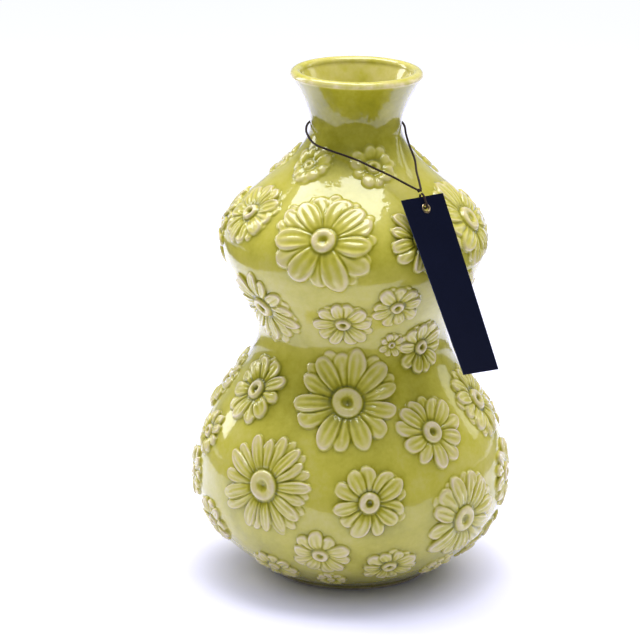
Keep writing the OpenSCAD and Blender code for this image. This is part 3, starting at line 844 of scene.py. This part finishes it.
def wall_normals(s):
    """Outward normals of a ring of the wall, the same for the two pieces that meet at a seam."""
    ds, da = 0.3, 0.01
    up = on_wall(AZ, FLAT + s + ds, FLAT) - on_wall(AZ, FLAT + s - ds, FLAT)
    around = on_wall(AZ + da, FLAT + s, FLAT) - on_wall(AZ - da, FLAT + s, FLAT)
    n = np.cross(around, up)
    return n / np.linalg.norm(n, axis=1)[:, None]


def wall_rings(z0, z1, pitch=1.0):
    s0, s1 = float(arc_at(z0)), float(arc_at(z1))
    s = np.linspace(s0, s1, int((s1 - s0) / pitch))
    relief = wall_relief(s)
    return [(on_wall(AZ, FLAT + si, FLAT), relief[j], 0.0, wall_normals(si)) for j, si in enumerate(s)]


# The inside is paler towards the mouth, partly as painted light falling into it, and a little greener
# everywhere
INSIDE_GREEN, MOUTH_THIN_AND_LIT, MOUTH_Z, MOUTH_EASE = 0.08, 0.42, 268, 26


def inner_rings(z0, z1, radius, pitch=4.0):
    """Rings down the inside, paler towards the mouth: the glaze is thinner there, and the light that falls
    into the mouth is painted on.
    """
    rings = []
    for z in np.linspace(z1, z0, max(3, int((z1 - z0) / pitch))):
        # Painted light near the mouth, on top of the thinner glaze there
        pale = MOUTH_THIN_AND_LIT * float(smooth((z - MOUTH_Z) / MOUTH_EASE)) - INSIDE_GREEN
        rings.append((ring(float(radius(z)), z), pale, 0.0))
    return rings


def gourd_inner(z):
    return outer_r(z) - WALL_T * stretch(z)


def neck_inner(z):
    throat, top = NECK_R - NECK_WALL_T, RIM_R - LIP_T
    collar = float(gourd_inner(COLLAR_Z))
    if z < NECK_Z:
        return collar + (throat - collar) * float(eased((z - COLLAR_Z) / (NECK_Z - COLLAR_Z), 1))
    return throat + (top - throat) * min((z - NECK_Z) / (LIP_Z - NECK_Z), 1) ** FLARE


floor_z = FOOT_HOLLOW + FLOOR_T
foot_in = FOOT_R - FOOT_W
foot_rows = (  # radius, height, relief and share of bare clay: glazed in the hollow, bare where it stands
    (foot_in - 1.5, FOOT_HOLLOW, -0.1, 0.0), (foot_in - 0.4, FOOT_HOLLOW * 0.9, -0.1, 0.3),
    (foot_in, FOOT_HOLLOW * 0.6, 0.0, 1.0), (foot_in + 0.2, 0.25, 0.0, 1.0), (foot_in + 0.9, 0.0, 0.0, 1.0),
    (FOOT_R - 0.9, 0.0, 0.0, 1.0), (FOOT_R - 0.2, 0.25, 0.0, 1.0), (FOOT_R, 0.9, 0.1, 0.9),
)
foot = [(ring(r, z), relief, bare) for r, z, relief, bare in foot_rows]
well = [
    (ring(float(gourd_inner(floor_z + 2)) - 2, floor_z + 0.3), -0.15, 0.0),
    (ring(20, floor_z), -0.2, 0.0),
]
inner_low = inner_rings(floor_z + 2, WAIST_Z, gourd_inner) + well
lathe("lower_gourd_glazed", foot + wall_rings(FOOT_H, WAIST_Z) + inner_low, "lower_gourd", capped=True)
inner_high = inner_rings(WAIST_Z, COLLAR_Z, gourd_inner)
lathe("upper_gourd_glazed", wall_rings(WAIST_Z, COLLAR_Z) + inner_high, "upper_gourd")

# Over the lip from the outside in, palest near its outer edge, by the turn in radians
LIP_FACETS = 24
LIP_PALE, EDGE_PALE, EDGE_AT, EDGE_WIDTH = 0.34, 0.36, 0.35, 0.42
BACK_LESS, BACK_FROM, BACK_EASE = 0.04, 1.7, 1.2
NECK_TOP_PALE = 0.7  # over the last millimetre of the neck's wall
lip = []
for k in range(1, LIP_FACETS):
    a = math.pi * k / LIP_FACETS
    pale = LIP_PALE + EDGE_PALE * math.exp(-(((a - EDGE_AT) / EDGE_WIDTH) ** 2))
    pale = pale - BACK_LESS * float(smooth((a - BACK_FROM) / BACK_EASE))
    lip.append((ring(RIM_R - LIP_R + LIP_R * math.cos(a), LIP_Z + LIP_R * math.sin(a)), pale, 0.0))
neck_wall = [
    (p, NECK_TOP_PALE * float(smooth(p[0, 2] - LIP_Z + 1.0)) + a, b, n)
    for p, a, b, n in wall_rings(COLLAR_Z, LIP_Z, pitch=0.8)
]
lathe("neck_glazed", neck_wall + lip + inner_rings(COLLAR_Z, LIP_Z, neck_inner, pitch=1.2), "neck")


# Tag
HOLE_PATCH = 3  # mm, half of the square of the card that is fitted round the hole
PATCH_CELLS, CARD_COLUMNS, ROWS_ABOVE, ROWS_BELOW = 6, 30, 4, 95  # of the card's mesh, and of that square
HOLE_CLEAR, EDGE_BEVEL = 0.4, 0.12  # mm
SHARP_ANGLE, BEVEL_ANGLE = math.radians(40), math.radians(50)
ROLL_STEPS, ROLL_POWER, EYELET_SIDES, EYELET_T = 12, 0.7, 48, 0.05


def card_point(x, y, h):
    """Point of the card, x across, y through its thickness and h below its upper edge."""
    a = np.radians(CARD_CURL * (h - HOLE_DROP) / CARD_L)
    return np.stack([x * np.cos(a) - y * np.sin(a), x * np.sin(a) + y * np.cos(a), HOLE_DROP - h + 0 * x], -1)


def build_card():
    across = np.linspace(-CARD_W / 2, CARD_W / 2, CARD_COLUMNS + 1)
    above, below = HOLE_DROP - HOLE_PATCH, HOLE_DROP + HOLE_PATCH
    parts = ((0, above, ROWS_ABOVE), (above, below, PATCH_CELLS), (below, CARD_L, ROWS_BELOW))
    down = np.concatenate([[0]] + [np.linspace(a, b, count + 1)[1:] for a, b, count in parts])
    n, m = len(across), len(down)
    flat_x, flat_h = (a.ravel() for a in np.meshgrid(across, down))
    grid = np.arange(n * m).reshape(m, n)

    def outline(i0, i1, j0, j1):
        points = [grid[j0, i] for i in range(i0, i1)] + [grid[j, i1] for j in range(j0, j1)]
        return points + [grid[j1, i] for i in range(i1, i0, -1)] + [grid[j, i0] for j in range(j1, j0, -1)]

    # Columns and rows that bound the patch, whose quads give way to the hole
    i0, j0 = (CARD_COLUMNS - PATCH_CELLS) // 2, ROWS_ABOVE
    i1, j1 = i0 + PATCH_CELLS, j0 + PATCH_CELLS
    quads = []
    for j in range(m - 1):
        for i in range(n - 1):
            if not (i0 <= i < i1 and j0 <= j < j1):
                quads.append((grid[j, i], grid[j + 1, i], grid[j + 1, i + 1], grid[j, i + 1]))
    loop = outline(i0, i1, j0, j1)
    hole_r = EYELET_BORE / 2 + HOLE_CLEAR
    start, k = len(flat_x), len(loop)
    a = np.arctan2(flat_x[loop], flat_h[loop] - HOLE_DROP)
    flat_x = np.concatenate([flat_x, hole_r * np.sin(a)])
    flat_h = np.concatenate([flat_h, HOLE_DROP + hole_r * np.cos(a)])
    for i in range(k):
        quads.append((loop[i], start + i, start + (i + 1) % k, loop[(i + 1) % k]))
    total = len(flat_x)
    points = np.concatenate(
        [card_point(flat_x, np.full(total, side * CARD_T / 2), flat_h) for side in (-1, 1)]
    )
    faces = [tuple(int(x) for x in q) for q in quads]
    faces += [tuple(int(x) + total for x in q[::-1]) for q in quads]
    slots = [0] * len(faces)
    rim = outline(0, n - 1, 0, m - 1)
    for i in range(len(rim)):
        p, q = int(rim[i]), int(rim[(i + 1) % len(rim)])
        faces.append((p, q, q + total, p + total))
    for i in range(k):
        p, q = start + i, start + (i + 1) % k
        faces.append((q, p, p + total, q + total))
    slots += [1] * (len(rim) + k)  # the cut edges show the core
    obj = add_mesh("tag_card_paper", at_eyelet(points) * MM, faces, [CARD, CORE], slots)
    obj.data.set_sharp_from_angle(angle=SHARP_ANGLE)
    bevel = obj.modifiers.new("bevel", "BEVEL")
    bevel.width, bevel.segments, bevel.material = EDGE_BEVEL * MM, 2, 0
    bevel.limit_method, bevel.angle_limit = "ANGLE", BEVEL_ANGLE
    place(obj, "tag", "tag_card")


def build_eyelet():
    """Rolled flange in front of the card and one behind it, joined through the bore."""
    bore_r, flange_r, half_t = EYELET_BORE / 2, EYELET_D / 2, CARD_T / 2
    width = flange_r - bore_r - EYELET_T
    turns = [math.pi * k / ROLL_STEPS for k in range(ROLL_STEPS + 1)]
    rolls = [(width * (1 - math.cos(a)) / 2, half_t + FLANGE_T * math.sin(a) ** ROLL_POWER) for a in turns]
    profile = [(bore_r + EYELET_T + r, -y) for r, y in rolls] + [(flange_r - r, y) for r, y in rolls]
    angles = [TAU * i / EYELET_SIDES for i in range(EYELET_SIDES)]
    points = [(r * math.cos(a), y, r * math.sin(a)) for r, y in profile for a in angles]
    faces = bands(len(profile), EYELET_SIDES) + band((len(profile) - 1) * EYELET_SIDES, 0, EYELET_SIDES)
    obj = add_mesh("tag_eyelet_rolled", at_eyelet(points) * MM, faces, [BRASS])
    place(obj, "tag", "tag_eyelet")


build_card()
build_eyelet()


# Studio, in metres
BACKDROP, REFLECTED, FILL = (0.975, 0.99, 1.0), (0.93, 0.965, 1.0), (0.83, 0.87, 1.0)
# Bluish table colour: a painted lavender tint of the shade, while the lit table looks white
SHADE_TINT_FLOOR_TONES = [(0.3, (0.79, 0.787, 0.965)), (0.7, (0.81, 0.807, 0.985))]
FLOOR_FADE = (0.6, 1.8)  # distances from the vase between which the table turns into the backdrop
FLAG_COLOUR, FLAG_GLOW, FLAG_Z = (0.5, 0.5, 0.45), 0.12, 0.004
FLAG_X, FLAG_FRONT, FLAG_BACK = 0.42, -0.285, 0.9
FLOOR_REACH, FLOOR_BACK = 6, 8
TOP_XY, TOP_SIZE, TOP_SPIN = (-0.22, 0.16), (1.25, 0.52), -32
WALL_AT, WALL_SIZE, AIM_Z = (1.015, 0.54, 0.70), (0.30, 0.82), 0.35
SUN_POWER, SUN_SPREAD, SUN_TINT, SUN_WAY = 1.62, math.radians(60), (1.0, 0.97, 0.91), (-0.25, -0.38, -1)
# Of the world, by how far back or up a ray points: where each grows from and to, and its strength there
BACK_GLOW, TOP_GLOW = (0.62, 0.95, 0.08, 0.50), (0.55, 0.95, 0.0, 0.4)
BACK_FILL, TOP_FILL = (-0.8, 0.6, 0.50, 0.88), (0.14, 0.8, 0.05, 2.1)


def stage_plane(name, x0, x1, y0, y1, z, material):
    mesh = bpy.data.meshes.new(name)
    mesh.from_pydata([(x0, y0, z), (x1, y0, z), (x1, y1, z), (x0, y1, z)], [], [(0, 1, 2, 3)])
    mesh.materials.append(material)
    obj = new_object(name, mesh)
    return obj


def floor_material():
    """Pale bluish table, whose blue shows only in its shade as a painted lavender tint of the shade, and
    which turns into the backdrop far from the vase, for the camera's own rays alone.
    """
    m, t, shader = new_material("studio_floor")
    coords = object_coords(t)
    feed(t, shader, {"Base Color": ramp(t, noise(t, coords, 3, 2), SHADE_TINT_FLOOR_TONES), "Roughness": 0.6})
    reach = node(t, "VectorMath", {0: coords}, operation="LENGTH").outputs["Value"]
    far = eased_range(t, reach, *FLOOR_FADE, 0.0, 1.0)
    direct = node(t, "LightPath").outputs["Is Camera Ray"]
    backdrop = node(t, "Emission", {0: (*BACKDROP, 1)}).outputs[0]
    blend = mix_shaders(t, math_node(t, "MULTIPLY", far, direct), shader.outputs[0], backdrop)
    out = next(n for n in t.nodes if n.type == "OUTPUT_MATERIAL")
    t.links.new(blend, out.inputs[0])
    return m


def flag_material():
    m, t, glow = new_material("flag", "Emission")
    feed(t, glow, {0: (*FLAG_COLOUR, 1), 1: FLAG_GLOW})
    return m


stage_plane("studio_floor", -FLOOR_REACH, FLOOR_REACH, -FLOOR_REACH, FLOOR_BACK, 0, floor_material())
# Dark cards on the floor in front and at the sides, which only reflections see, end the bright table there
FLAG = flag_material()
for name, *sides in (
    ("front_flag", -FLOOR_REACH, FLOOR_REACH, -FLOOR_REACH, FLAG_FRONT),
    ("left_flag", -FLOOR_REACH, -FLAG_X, FLAG_FRONT, FLAG_BACK),
    ("right_flag", FLAG_X, FLOOR_REACH, FLAG_FRONT, FLAG_BACK),
):
    flag = stage_plane(name, *sides, FLAG_Z, FLAG)
    flag.visible_camera = flag.visible_diffuse = flag.visible_shadow = flag.visible_transmission = False


def area(name, place_at, aim, size, power, colour=(1, 1, 1), spin=0.0):
    data = bpy.data.lights.new(name, "AREA")
    data.shape, data.size, data.size_y = "RECTANGLE", size[0], size[1]
    data.energy, data.color = power, colour
    obj = new_object(name, data)
    obj.location = place_at
    aimed = (Vector(aim) - Vector(place_at)).to_track_quat("-Z", "Y").to_matrix()
    obj.rotation_euler = (aimed @ Matrix.Rotation(math.radians(spin), 3, "Z")).to_euler()
    return obj


# The top light's reflection has a strength and a tint of its own. It hangs just under the light
top_box = area("top_box", (*TOP_XY, 1.25), (*TOP_XY, 0), TOP_SIZE, 7.8, (1.0, 0.975, 0.92), TOP_SPIN)
top_box.visible_glossy = False
top_glint = area("top_glint", (*TOP_XY, 1.24), (*TOP_XY, 0), TOP_SIZE, 15.5, (0.93, 0.97, 1.0), TOP_SPIN)
top_glint.visible_diffuse = False
for name, side, power in (("left_wall", -1, 3.9), ("right_wall", 1, 1.2)):
    area(name, (side * WALL_AT[0], *WALL_AT[1:]), (0, 0, AIM_Z), WALL_SIZE, power)

back_light = bpy.data.lights.new("back_light", "SUN")
back_light.energy, back_light.angle, back_light.color = SUN_POWER, SUN_SPREAD, SUN_TINT
back_lamp = new_object("back_light", back_light)
back_lamp.rotation_euler = Vector(SUN_WAY).to_track_quat("-Z", "Y").to_euler()
back_lamp.visible_glossy = False


def build_world():
    """White for the camera, grey with a bright back and top in reflections, and a soft fill from above."""
    world = bpy.data.worlds.new("studio")
    bpy.context.scene.world = world
    world.use_nodes = True
    t = world.node_tree
    t.nodes.clear()
    way = node(t, "TexCoord").outputs["Generated"]
    split = node(t, "SeparateXYZ", {0: way})
    y, z = split.outputs["Y"], split.outputs["Z"]
    bright = math_node(t, "ADD", eased_range(t, y, *BACK_GLOW), eased_range(t, z, *TOP_GLOW))
    fill = math_node(t, "MULTIPLY", eased_range(t, y, *BACK_FILL), eased_range(t, z, *TOP_FILL))
    reflected, lighting, straight = (
        node(t, "Background", {0: (*colour, 1), 1: strength}).outputs[0]
        for colour, strength in ((REFLECTED, bright), (FILL, fill), (BACKDROP, 1.0))
    )
    rays = node(t, "LightPath")
    unseen = mix_shaders(t, rays.outputs["Is Glossy Ray"], lighting, reflected)
    surface = mix_shaders(t, rays.outputs["Is Camera Ray"], unseen, straight)
    node(t, "OutputWorld", {0: surface})


build_world()
bpy.context.scene.view_settings.view_transform = "Standard"
bpy.context.scene.view_settings.look = "None"
